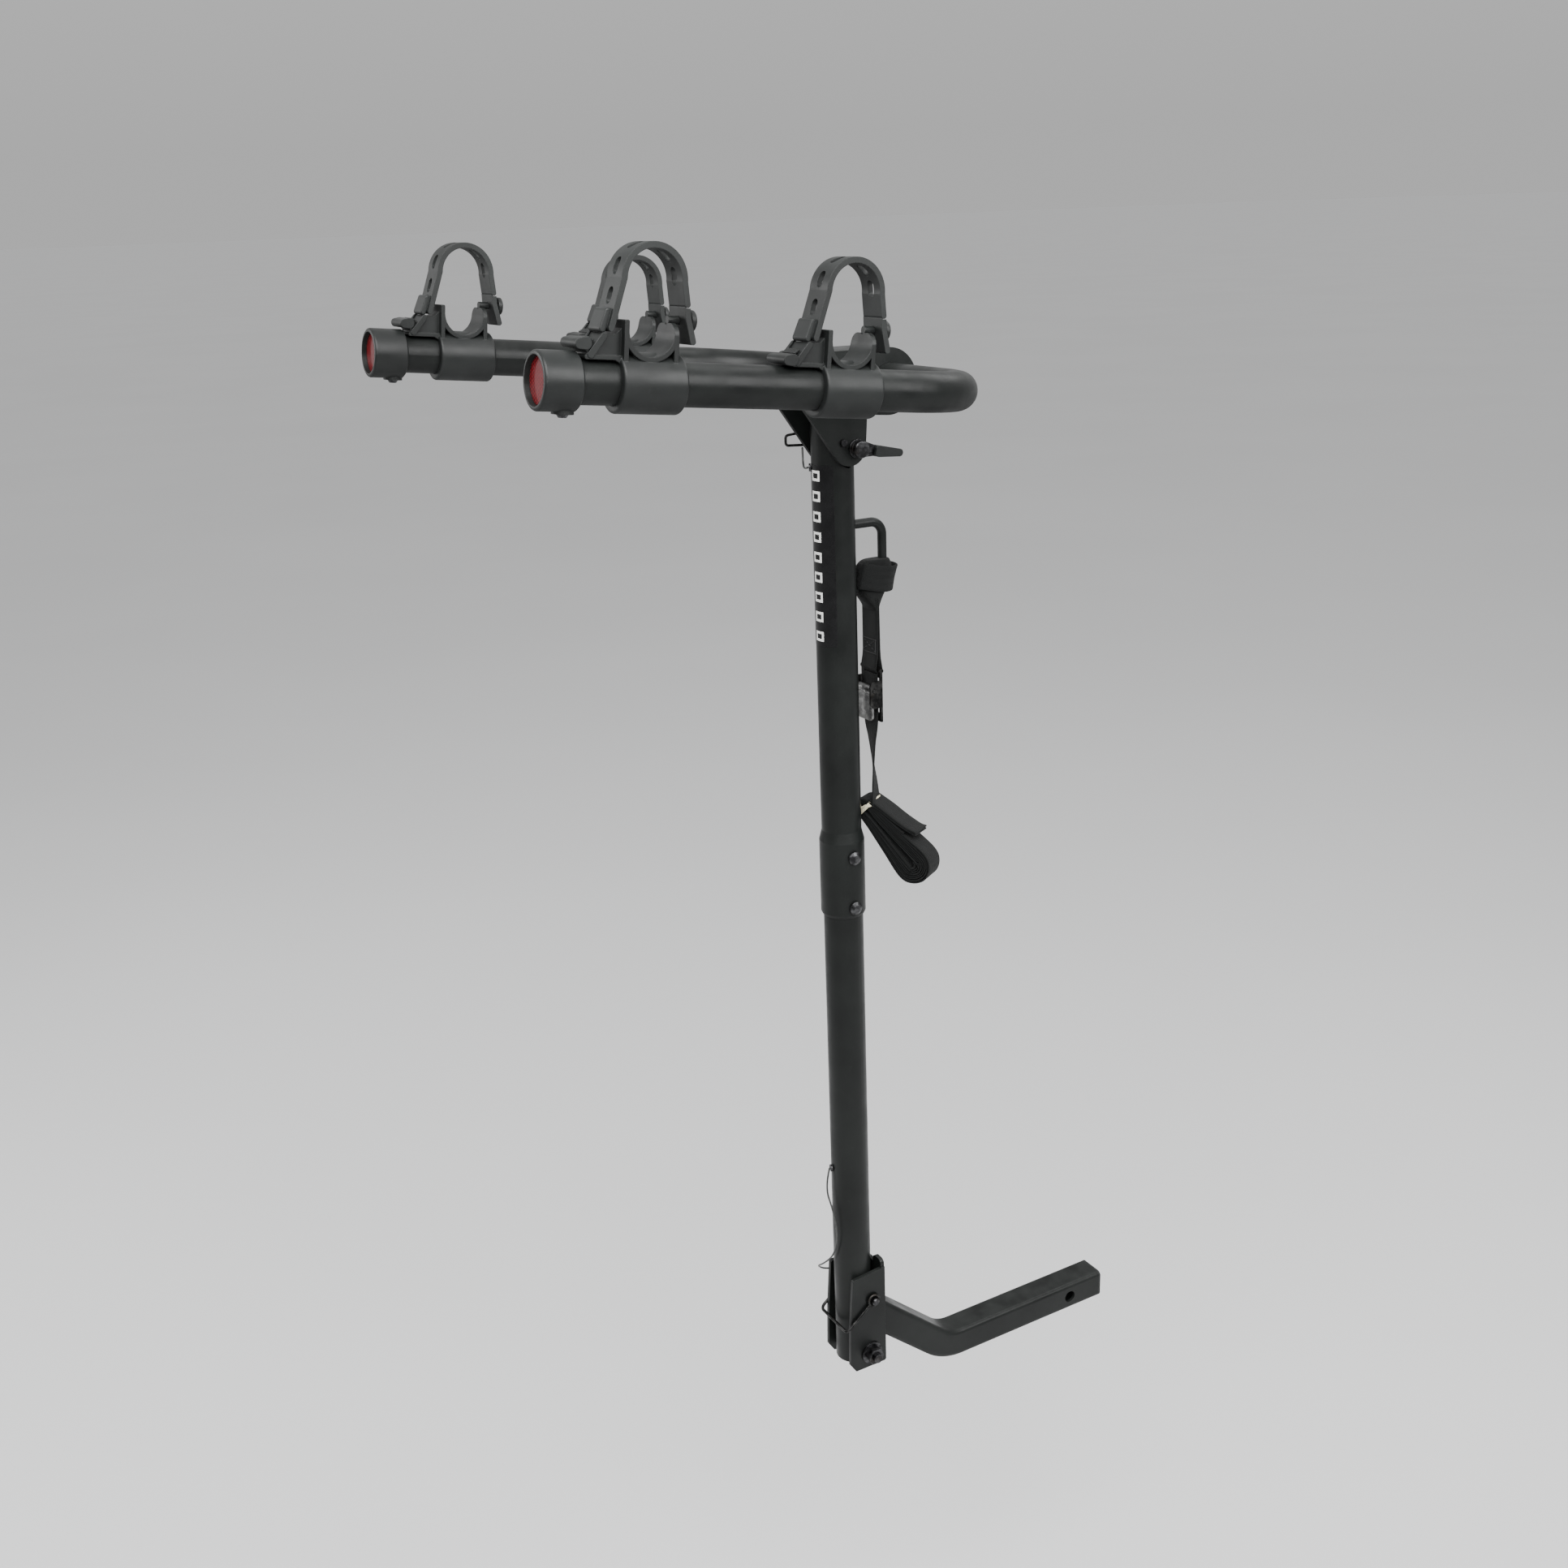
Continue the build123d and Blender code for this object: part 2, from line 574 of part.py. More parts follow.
# ---- cradles and ladder straps ------------------------------------------------------------------
def cradle_body(grip_z):
    half = CRADLE_WIDTH / 2
    sx, sz = SADDLE_AT
    sleeve = bar_x(0, 0, CRADLE_R, -CRADLE_HALF, CRADLE_HALF)
    sleeve = fillet(sleeve.edges(), 2.0)
    u_outer = disc(sx, sz, SADDLE_R + SADDLE_WALL) & (Pos(sx, sz - 30) * Rectangle(80, 60))
    u_outer += Pos(sx, (sz + SADDLE_LIP_Z) / 2) * Rectangle(2 * (SADDLE_R + SADDLE_WALL), SADDLE_LIP_Z - sz)
    post = Pos(sx - SADDLE_R - SADDLE_WALL / 2, (POST_TOP_Z + 5) / 2) * Rectangle(SADDLE_WALL, POST_TOP_Z - 5)
    web = Pos(sx + SADDLE_R + SADDLE_WALL / 2, 22) * Rectangle(SADDLE_WALL, 34)
    profile = u_outer + post + web
    profile -= disc(sx, sz, SADDLE_R)
    profile -= Pos(sx, sz + 20) * Rectangle(2 * SADDLE_R, 40)
    body = prism_y(profile, -half, half)
    tops = body.edges().filter_by(Axis.Y).group_by(Axis.Z)
    body = fillet(tops[-1], 1.2)
    lip = Pos(sx + SADDLE_R + SADDLE_WALL / 2, 0, SADDLE_LIP_Z) * Box(SADDLE_WALL + 4, 2 * half, 16)
    keep = extrude(Plane.YZ.offset(sx + SADDLE_R - 3) * (Pos(0, 20) * RectangleRounded(2 * half, 44, 9.0)), amount=12)
    body -= lip - keep
    body = sleeve + body + catch_wing(grip_z)
    body -= bar_x(0, 0, ARM_R + 0.03, -80, 80)
    body -= Pos(sx + SADDLE_R + 2, 0, BUTTON_Z) * Rot(0, 90, 0) * Cylinder(3.03, 12)
    return body


def catch_wing(grip_z):
    """Catch behind the saddle: web, two side bars, a ribbed ramp and a rounded grip."""
    x0 = SADDLE_AT[0] - SADDLE_R - SADDLE_WALL
    web = outline([(x0 + 1, 38), (x0 + 1, 12), (x0 - 4, 17), (x0 - 9, 15.6), (x0 - 26, 15.6), (-47.5, 20), (-40.5, 29),
                   (-37.5, 33.4), (x0 - 4.2, 33.4)])
    body = prism_y(web, -9.5, 9.5)
    bar = hull_of(disc(-37.4, 31.6, 2.3), disc(-47.0, 19.0, 2.6))
    body += prism_y(bar, 10.3, 12.6) + prism_y(bar, -12.6, -10.3)
    body += prism_y(hull_of(disc(-41.6, 26.6, 1.8), disc(-47.0, 19.4, 2.2)), -10.6, 10.6)
    body += prism_y(hull_of(disc(-51.0, grip_z, 4.3), disc(-55.4, grip_z - 0.3, 3.6)), -13.0, 13.0)
    body += prism_y(hull_of(disc(-46.8, 20.2, 2.0), disc(-51.0, grip_z, 2.6)), -11.0, 11.0)
    body += prism_y(hull_of(disc(-50.0, 17.2, 1.5), disc(x0 - 4, 17.2, 1.5)), -12.0, 12.0)
    body += prism_y(outline([(x0 - 5, 15.7), (x0 + 1, 12), (x0 + 1, 18.7), (x0 - 5, 18.7)]), -12.0, 12.0)
    for t in (0.2, 0.5, 0.8):
        body += bar_y(-43.4 - 5.2 * t, 28.0 + (grip_z - 23.8) * t, 0.8, -9.0, 9.0)
    return body


def strap_side(t):
    """Side outline of the hooped strap at thickness t."""
    ax, az = STRAP_ARC_AT
    r = STRAP_ARC_R
    h = t / 2
    ring = disc(ax, az, r + h) - disc(ax, az, r - h)
    ring &= Pos(ax, az + 40) * Rectangle(120, 80)
    left = hull_of(disc(ax - r, az, h), disc(STRAP_END[0], STRAP_END[1] + h, h))
    right = hull_of(disc(ax + r, az, h), disc(STRAP_HINGE[0], STRAP_HINGE[1], h))
    return ring + left + right


def ladder_slot(x, z, deg, length):
    """Cutter for one round-ended slot through the strap."""
    face = Plane.YZ.offset(-7) * (Rot(0, 0, 90) * SlotOverall(length, 7.6))
    return Pos(x, 0, z) * Rot(0, deg, 0) * extrude(face, amount=14)


def strap_body():
    half = STRAP_WIDTH / 2
    ax, az = STRAP_ARC_AT
    r = STRAP_ARC_R
    body = prism_y(strap_side(STRAP_T), -half, half)
    for turn in SLOT_TURNS:
        a = math.radians(90 - turn)
        body -= ladder_slot(ax + r * math.cos(a), az + r * math.sin(a), turn - 90, 12.5)
    body -= ladder_slot(SLOT_LOW[0], SLOT_LOW[1], 14.4, 12.0)
    pad = prism_y(hull_of(disc(-33.4, 47.6, 2.6), disc(-37.4, 36.2, 2.6)), -9.3, 9.3)
    return body + fillet(pad.edges().filter_by(Axis.Y, reverse=True).group_by(Axis.Y)[0], 1.0)


def strap_tail():
    """Short lower end of the strap, held by its button."""
    half = STRAP_WIDTH / 2
    h = STRAP_T / 2
    hx, hz = STRAP_HINGE
    low = hull_of(disc(hx + 0.9, hz - 9, h), disc(STRAP_TAIL_END[0], STRAP_TAIL_END[1], h))
    low += hull_of(disc(hx, hz - 1, h), disc(hx + 0.9, hz - 9, h))
    low -= disc(hx, hz, h + 0.35)
    low -= Pos(hx, hz + 5) * Rectangle(20, 10)
    low -= Pos(hx + 5, hz + 2.5) * Rectangle(10, 10)
    body = prism_y(low, -half, half)
    return body - Pos(hx + 2, 0, BUTTON_Z) * Rot(0, 90, 0) * Cylinder(3.03, 24)


def strap_button():
    x0 = SADDLE_AT[0] + SADDLE_R + 0.6
    stem = bar_x(0, BUTTON_Z, 3.0, x0, 33.0)
    head = bar_x(0, BUTTON_Z, 7.5, 31.7, 36.2)
    return stem + fillet(head.edges(), 1.4)


def place_cradle(shape, x, side):
    return ARM_PLACE * Pos(x, side * ARM_HALF, 0) * shape


# ---- lanyards -----------------------------------------------------------------------------------
def rivet_end(index, out):
    """Point square off a rivet head."""
    z, deg = RIVETS[index]
    c = math.cos(math.radians(deg))
    s = math.sin(math.radians(deg))
    return (MAST_X + c * (MAST_R + out), s * (MAST_R + out), z)


def lower_lanyard_points():
    x, z = LOW_PIN
    pts = [rivet_end(0, 3.0), (MAST_X - 25.5, 8.0, 236.0), (MAST_X - 23.5, -4.0, 214.0)]
    pts += [(MAST_X - 22.5, -10.0, 186.0), (MAST_X - 23.0, -2.0, 160.0), (MAST_X - 26.0, 14.0, 142.0)]
    pts += [(MAST_X - 24.0, 32.0, 128.0), (MAST_X - 8.0, 41.0, 113.0), (x - 1.9, 41.6, z + 1.5)]
    return pts


def upper_lanyard_points():
    x, z = TOP_PIN
    y = PLATE_OUT_Y + 8.5
    pts = [(x - 8.0, y, z - 8.2), (x - 9.7, y - 3.1, z - 20.6)]
    pts += [(x - 14.8, y - 13.6, z - 25.8), rivet_end(1, 3.0)]
    return pts


def bend_radii(name, pts):
    """Arc radius at each inner corner, as large as the shorter run allows."""
    radii = []
    for a, b, c in zip(pts, pts[1:], pts[2:]):
        u = Vector(*b) - Vector(*a)
        v = Vector(*c) - Vector(*b)
        turn = math.radians(u.get_angle(v))
        radii.append(round(0.45 * min(u.length, v.length) / math.tan(turn / 2), 2))
    print(name, "radii", radii)
    return radii


def lanyard(name, pts):
    return wire_solid(pts, bend_radii(name, pts), LANYARD_R)


# ---- export -------------------------------------------------------------------------------------
def save(shape, name):
    export_step(shape, "parts/" + name + ".step")


os.makedirs("parts", exist_ok=True)

save(tongue(), "hitch_tongue")
save(tongue_plug(), "tongue_end_plug")
save(lower_bracket(), "mast_bracket")
save(low_pivot_bolt(), "mast_pivot_bolt")
save(low_pivot_nut(), "mast_pivot_nut")
save(low_pivot_washers(), "mast_pivot_washers")
save(low_lock_pin(), "mast_lock_pin")
save(pin_bail(), "mast_pin_bail")
save(lanyard("lower_lanyard", lower_lanyard_points()), "lower_lanyard")

save(lower_mast(), "lower_mast_tube")
save(upper_mast(), "upper_mast_tube")
save(mast_cap(), "mast_top_plug")
save(joint_bolts(), "mast_joint_bolts")
save(joint_nuts(), "mast_joint_nuts")
save(cable_rivets(), "lanyard_rivets")
save(mast_label(), "mast_label")
save(strap_hook(), "strap_hook")

save(tie_loop(), "tie_strap_loop")
save(tie_strap_upper(), "tie_strap_upper")
save(buckle_frame(), "cam_buckle_frame")
save(buckle_pin(), "cam_buckle_pin")
save(buckle_cam(), "cam_buckle_lever")
save(tie_strap_tail(), "tie_strap_tail")
save(hank_slab(), "tie_strap_bundle")
save(bundle_band(), "bundle_band")

save(arm_hoop(), "arm_hoop")
save(arm_bracket(), "arm_bracket")
save(top_pivot_bolt(), "arm_pivot_bolt")
save(top_pivot_nut(), "arm_pivot_nut")
save(release_lever(), "release_lever")
save(lever_grip(), "lever_grip")
save(lever_spring(), "lever_spring")
save(top_lock_pin(), "arm_lock_pin")
save(top_pin_ring(), "arm_pin_ring")
save(lanyard("upper_lanyard", upper_lanyard_points()), "upper_lanyard")

save(both_arms(end_cap), "arm_end_caps")
save(both_arms(reflector), "end_reflectors")
save(both_arms(cap_screw), "cap_screws")

strap = strap_body()
tail = strap_tail()
button = strap_button()
buttons = None
for side, side_name in ((-1, "right"), (1, "left")):
    for x, x_name, grip_z in zip(CRADLE_X, ("outer", "inner"), GRIP_Z):
        tag = side_name + "_" + x_name
        save(place_cradle(cradle_body(grip_z), x, side), "cradle_" + tag)
        save(place_cradle(strap, x, side), "strap_" + tag)
        save(place_cradle(tail, x, side), "strap_tail_" + tag)
        one = place_cradle(button, x, side)
        buttons = one if buttons is None else buttons + one
save(buttons, "strap_buttons")
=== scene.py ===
import json
import math
import random

import bmesh
import bpy
from mathutils import Matrix, Vector


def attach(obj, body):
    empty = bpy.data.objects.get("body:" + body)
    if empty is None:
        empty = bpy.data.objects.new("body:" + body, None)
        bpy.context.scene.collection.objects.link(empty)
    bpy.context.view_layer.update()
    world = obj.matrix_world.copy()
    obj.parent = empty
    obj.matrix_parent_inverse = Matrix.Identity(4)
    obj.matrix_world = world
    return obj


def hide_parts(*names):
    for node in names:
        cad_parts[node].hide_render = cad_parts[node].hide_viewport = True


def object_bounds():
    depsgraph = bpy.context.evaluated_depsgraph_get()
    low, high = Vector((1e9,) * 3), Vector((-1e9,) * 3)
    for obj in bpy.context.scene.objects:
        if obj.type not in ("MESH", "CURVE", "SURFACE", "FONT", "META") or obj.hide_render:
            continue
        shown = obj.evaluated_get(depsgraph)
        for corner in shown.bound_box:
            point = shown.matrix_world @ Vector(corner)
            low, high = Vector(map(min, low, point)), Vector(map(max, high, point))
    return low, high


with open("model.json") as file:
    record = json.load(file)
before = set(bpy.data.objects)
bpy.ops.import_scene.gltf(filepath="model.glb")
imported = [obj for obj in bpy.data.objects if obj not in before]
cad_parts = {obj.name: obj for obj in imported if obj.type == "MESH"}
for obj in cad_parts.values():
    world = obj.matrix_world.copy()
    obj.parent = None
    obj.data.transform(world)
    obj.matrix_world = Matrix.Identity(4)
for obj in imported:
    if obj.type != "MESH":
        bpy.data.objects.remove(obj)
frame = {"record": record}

CAD_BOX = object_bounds()

# ---- places and sizes on the object, in metres ---------------------------------------------------
MAST_X = -0.280
MAST_R = 0.01905
LOW_PIN = (MAST_X + 0.0094, 0.107)  # x, z of the lower lock pin
TOP_PIN = (MAST_X - 0.0035, 0.9881)  # x, z of the small lock pin under the arms
PLATE_OUT_Y = 0.0236
CABLE_R = 0.0009
BUCKLE_X = MAST_X + 0.0375
WEB_WIDTH = 0.025
WEB_THICK = 0.0016
HANK_AT = (MAST_X + 0.0405, 0.613)  # x, z of the hank's pinched end
HANK_OUT = 0.0166
HANK_TURN = math.radians(-60)
HANK_DIP = math.radians(45)
HANK_WIDTH = 0.0245
LABEL_Z = (0.805, 0.968)
LABEL_MARKS = 9

# ---- camera and lights, fitted to the photograph -------------------------------------------------
CAMERA_AT = (-1.0757, -1.2879, 1.1811)
CAMERA_TURN = (-29.7, 18.67, -2.06)  # azimuth, elevation and roll in degrees
CAMERA_LENS = 38.93
FLOOR_HALF = 300.0
FLOOR_DROP = 0.42
LIGHTS = (  # name, place, point it faces, size, power in watts
    ("key", (-1.3, -1.7, 2.9), (-0.3, 0, 0.9), 2.4, 230),
    ("fill", (-2.5, 1.9, 1.6), (-0.3, 0, 0.6), 1.0, 42),
    ("rim", (1.6, 0.2, 2.8), (-0.3, 0, 0.7), 1.5, 20),
    ("side", (0.67, -2.23, 2.09), (-0.5, -0.15, 1.05), 1.7, 80),
)


# ---- camera --------------------------------------------------------------------------------------
def make_camera():
    az, el, roll = (math.radians(v) for v in CAMERA_TURN)
    back = Vector((math.sin(az) * math.cos(el), -math.cos(az) * math.cos(el), math.sin(el)))
    right = Vector((math.cos(az), math.sin(az), 0.0))
    up = back.cross(right)
    r = right * math.cos(roll) + up * math.sin(roll)
    u = up * math.cos(roll) - right * math.sin(roll)
    data = bpy.data.cameras.new("camera")
    data.sensor_width = 36.0
    data.lens = CAMERA_LENS
    data.clip_start = 0.05
    cam = bpy.data.objects.new("camera", data)
    cam.matrix_world = Matrix((
        (r.x, u.x, back.x, CAMERA_AT[0]),
        (r.y, u.y, back.y, CAMERA_AT[1]),
        (r.z, u.z, back.z, CAMERA_AT[2]),
        (0, 0, 0, 1),
    ))
    bpy.context.scene.collection.objects.link(cam)
    bpy.context.scene.camera = cam


# ---- node material helpers -----------------------------------------------------------------------
class Mat:
    """Small wrapper that adds nodes and links to one material."""

    def __init__(self, name):
        self.mat = bpy.data.materials.new(name)
        self.mat.use_nodes = True
        self.tree = self.mat.node_tree
        self.bsdf = self.tree.nodes["Principled BSDF"]
        self.coord = self.node("ShaderNodeTexCoord").outputs["Object"]

    def node(self, kind, **values):
        n = self.tree.nodes.new(kind)
        for key, value in values.items():
            if key in n.inputs.keys():
                n.inputs[key].default_value = value
            else:
                setattr(n, key, value)
        return n

    def link(self, a, b):
        self.tree.links.new(a, b)

    def set(self, **values):
        for key, value in values.items():
            self.bsdf.inputs[key.replace("_", " ")].default_value = value

    def noise(self, scale, detail=3.0):
        n = self.node("ShaderNodeTexNoise", Scale=scale, Detail=detail, Roughness=0.55)
        self.link(self.coord, n.inputs["Vector"])
        return n.outputs["Fac"]

    def ramp(self, fac, low, high, a=0.35, b=0.65):
        """Map a factor from the range a..b to low..high, clamped."""
        n = self.node("ShaderNodeMapRange", clamp=True)
        n.inputs["From Min"].default_value = a
        n.inputs["From Max"].default_value = b
        n.inputs["To Min"].default_value = low
        n.inputs["To Max"].default_value = high
        self.link(fac, n.inputs["Value"])
        return n.outputs["Result"]

    def math(self, op, a, b=None, c=None):
        n = self.node("ShaderNodeMath", operation=op)
        for k, v in enumerate((a, b, c)):
            if v is None:
                continue
            if isinstance(v, (int, float)):
                n.inputs[k].default_value = v
            else:
                self.link(v, n.inputs[k])
        return n.outputs[0]

    def mix(self, fac, a, b):
        n = self.node("ShaderNodeMix", data_type="RGBA")
        for key, v in ((0, fac), (6, a), (7, b)):
            if isinstance(v, (int, float)):
                n.inputs[key].default_value = v
            elif isinstance(v, tuple):
                n.inputs[key].default_value = (*v, 1.0)
            else:
                self.link(v, n.inputs[key])
        return n.outputs[2]

    def bump(self, height, strength, distance, normal=None):
        n = self.node("ShaderNodeBump", Strength=strength, Distance=distance)
        self.link(height, n.inputs["Height"])
        if normal is not None:
            self.link(normal, n.inputs["Normal"])
        return n.outputs["Normal"]

    def up_facing(self, low=0.2, high=1.0):
        """1 where the normal's Z is at high, 0 where it is at low."""
        geo = self.node("ShaderNodeNewGeometry")
        sep = self.node("ShaderNodeSeparateXYZ")
        self.link(geo.outputs["Normal"], sep.inputs[0])
        return self.ramp(sep.outputs["Z"], 0.0, 1.0, low, high)

    def axes(self, vector=None):
        sep = self.node("ShaderNodeSeparateXYZ")
        self.link(vector or self.coord, sep.inputs[0])
        return sep.outputs["X"], sep.outputs["Y"], sep.outputs["Z"]

    def colour(self, socket):
        self.link(socket, self.bsdf.inputs["Base Color"])

    def rough(self, socket):
        self.link(socket, self.bsdf.inputs["Roughness"])

    def normal(self, socket):
        self.link(socket, self.bsdf.inputs["Normal"])


def moulded(name, dark, light, rough, grain, grain_depth, shine, dust=0.3, edge=0.0006):
    """Dark coated or moulded surface: fine grain, dust on top, dull undersides, edges lightened in
    colour, partly wear and partly a painted highlight.
    """
    m = Mat(name)
    soft = m.noise(14.0, 4.0)
    tone = m.mix(m.ramp(soft, 0.0, 1.0), dark, light)
    speck = m.ramp(m.noise(420.0, 2.0), 0.0, 1.0, 0.62, 0.74)
    dusty = m.math("MULTIPLY", m.up_facing(), m.ramp(m.noise(55.0, 5.0), 0.15, 1.0))
    amount = m.math("MULTIPLY", m.math("ADD", dusty, m.math("MULTIPLY", speck, 0.35)), dust)
    # Pale tone used for dust, for worn edges and for the painted edge highlight.
    dust_wear_and_highlight_tone = tuple(min(1.0, v * 2.0 + 0.012) for v in light)
    round_edge = m.node("ShaderNodeBevel", samples=4, Radius=edge)
    geo = m.node("ShaderNodeNewGeometry")
    dot = m.node("ShaderNodeVectorMath", operation="DOT_PRODUCT")
    m.link(round_edge.outputs[0], dot.inputs[0])
    m.link(geo.outputs["Normal"], dot.inputs[1])
    # Edge mask from the bevel: lightens the colour along edges, partly wear and partly a painted
    # highlight of the light lines that rounded edges catch.
    rim = m.ramp(dot.outputs["Value"], 1.0, 0.0, 0.86, 0.995)
    worn = m.math("MULTIPLY", rim, m.ramp(m.noise(90.0, 4.0), 0.1, 0.7))
    m.colour(m.mix(m.math("MAXIMUM", amount, m.math("MULTIPLY", worn, 0.5)), tone, dust_wear_and_highlight_tone))
    mottled = m.ramp(m.noise(35.0, 4.0), rough - 0.07, rough + 0.09)
    m.rough(m.math("MULTIPLY_ADD", m.up_facing(0.0, -0.7), 0.3, mottled))
    m.normal(m.bump(m.noise(grain, 2.0), 0.55, grain_depth, round_edge.outputs[0]))
    m.set(Specular_IOR_Level=shine)
    return m.mat


def powder_coat():
    tones = (0.0035, 0.004, 0.0038), (0.0065, 0.0075, 0.007)
    return moulded("powder_coat", *tones, 0.36, 900.0, 0.0001, 0.17)


def plastic():
    tones = (0.005, 0.0056, 0.0054), (0.009, 0.0102, 0.0098)
    return moulded("black_plastic", *tones, 0.42, 1500.0, 0.00006, 0.24, 0.25, 0.0009)


def rubber():
    tones = (0.0065, 0.0072, 0.007), (0.011, 0.0125, 0.012)
    return moulded("strap_rubber", *tones, 0.5, 1100.0, 0.00005, 0.27, 0.3, 0.0008)


def zinc(name="zinc_steel", dark=(0.022, 0.022, 0.023), light=(0.075, 0.075, 0.078), rough=0.36):
    m = Mat(name)
    m.set(Metallic=1.0)
    spots = m.ramp(m.noise(160.0, 5.0), 0.0, 1.0, 0.42, 0.62)
    tone = m.mix(spots, dark, light)
    stain = m.ramp(m.noise(60.0, 4.0), 0.0, 0.45, 0.56, 0.72)
    m.colour(m.mix(stain, tone, (0.03, 0.022, 0.016)))
    m.rough(m.ramp(m.noise(240.0, 4.0), rough - 0.1, rough + 0.2))
    edge = m.node("ShaderNodeBevel", samples=4, Radius=0.0004)
    m.normal(m.bump(m.noise(1200.0, 3.0), 0.4, 0.00006, edge.outputs[0]))
    return m.mat


def webbing(name="black_webbing", dark=(0.0018, 0.002, 0.002), light=(0.0062, 0.0068, 0.0066)):
    """Woven tape: chevron ribs from the tape's own length and width, stored as UV in metres."""
    m = Mat(name)
    uv = m.node("ShaderNodeTexCoord").outputs["UV"]
    u, v, _ = m.axes(uv)
    lean = m.math("ADD", u, m.math("MULTIPLY", m.math("PINGPONG", v, 0.0031), 1.6))
    rib = m.math("SINE", m.math("MULTIPLY", lean, 2 * math.pi / 0.0017))
    yarn = m.math("SINE", m.math("MULTIPLY", v, 2 * math.pi / 0.00105))
    weave = m.math("ADD", m.math("MULTIPLY", rib, 0.6), m.math("MULTIPLY", yarn, 0.4))
    fuzz = m.noise(2600.0, 2.0)
    loose = m.math("MULTIPLY", m.ramp(fuzz, 0.0, 1.0), 0.25)
    fac = m.math("ADD", m.ramp(weave, 0.0, 0.75, -1.0, 1.0), loose)
    fade = m.ramp(m.noise(24.0, 3.0), 0.7, 1.25)
    m.colour(m.mix(m.math("MULTIPLY", fac, fade), dark, light))
    m.rough(m.ramp(fuzz, 0.72, 0.92))
    m.set(Sheen_Weight=0.03, Sheen_Roughness=0.45, Specular_IOR_Level=0.14)
    m.normal(m.bump(weave, 0.75, 0.00028, m.bump(fuzz, 0.35, 0.0001)))
    return m.mat


def elastic():
    return webbing("cream_elastic", (0.36, 0.32, 0.2), (0.72, 0.68, 0.52))


def thread():
    m = Mat("strap_thread")
    twist = m.noise(3000.0, 2.0)
    m.colour(m.mix(m.ramp(twist, 0.0, 1.0), (0.012, 0.013, 0.013), (0.035, 0.037, 0.037)))
    m.rough(m.ramp(twist, 0.6, 0.85))
    m.normal(m.bump(twist, 0.5, 0.0001))
    return m.mat


def cable():
    m = Mat("coated_cable")
    m.colour(m.mix(m.ramp(m.noise(300.0), 0.0, 1.0), (0.012, 0.013, 0.013), (0.03, 0.032, 0.03)))
    m.rough(m.ramp(m.noise(700.0), 0.3, 0.5))
    m.normal(m.bump(m.noise(1600.0), 0.3, 0.00005))
    return m.mat


def reflector():
    """Red lens with a fine cube-corner pattern behind a clear face."""
    m = Mat("red_reflector")
    cell = 0.0012
    _, y, z = m.axes()
    half_y, tall_z = m.math("MULTIPLY", y, 0.5), m.math("MULTIPLY", z, 0.866)
    ways = y, m.math("ADD", half_y, tall_z), m.math("SUBTRACT", half_y, tall_z)
    a, b, c = (m.math("PINGPONG", way, cell) for way in ways)
    cells = m.math("ADD", a, m.math("ADD", b, c))
    shade = m.ramp(cells, 0.0, 1.0, cell, 0.0026)
    m.colour(m.mix(shade, (0.035, 0.0015, 0.002), (0.16, 0.008, 0.012)))
    m.rough(m.ramp(m.noise(300.0), 0.08, 0.22))
    m.set(Coat_Weight=0.25, Coat_Roughness=0.12, Specular_IOR_Level=0.3)
    m.normal(m.bump(cells, 0.8, 0.0016))
    return m.mat


def label():
    """Glossy black film with a column of plain off-white bars."""
    m = Mat("label_film")
    x, y, z = m.axes()
    turn = m.math("ARCTAN2", y, m.math("MULTIPLY", m.math("ADD", x, -MAST_X), -1.0))
    across = m.math("MULTIPLY", turn, MAST_R)
    side = m.math("ABSOLUTE", m.math("SUBTRACT", across, -0.0015))
    pitch = (LABEL_Z[1] - LABEL_Z[0]) / LABEL_MARKS
    place = m.math("MODULO", m.math("SUBTRACT", z, LABEL_Z[0]), pitch)
    row = m.math("ABSOLUTE", m.math("SUBTRACT", place, pitch / 2))
    bar = m.math("MULTIPLY", m.math("LESS_THAN", side, 0.0055), m.math("LESS_THAN", row, 0.0046))
    hole = m.math("MULTIPLY", m.math("LESS_THAN", side, 0.0032), m.math("LESS_THAN", row, 0.0023))
    mark = m.math("SUBTRACT", bar, hole)
    worn = m.math("MULTIPLY", mark, m.ramp(m.noise(900.0, 3.0), 1.0, 0.75, 0.6, 0.75))
    base = m.mix(m.ramp(m.noise(50.0), 0.0, 1.0), (0.002, 0.002, 0.0022), (0.004, 0.004, 0.0044))
    m.colour(m.mix(worn, base, (0.62, 0.62, 0.6)))
    m.rough(m.ramp(m.noise(120.0, 4.0), 0.2, 0.34))
    m.set(Coat_Weight=0.08, Coat_Roughness=0.1, Specular_IOR_Level=0.22)
    m.normal(m.bump(m.noise(60.0), 0.15, 0.0002))
    return m.mat


# ---- geometry helpers ----------------------------------------------------------------------------
def add_object(name, mesh_or_curve, material):
    obj = bpy.data.objects.new(name, mesh_or_curve)
    bpy.context.scene.collection.objects.link(obj)
    mesh_or_curve.materials.append(material)
    return obj


def catmull_rom(t, a, b, c, d):
    """Value between b and c."""
    square = (2 * a - 5 * b + 4 * c - d) * t * t
    return 0.5 * (2 * b + (c - a) * t + square + (3 * b - a - 3 * c + d) * t ** 3)


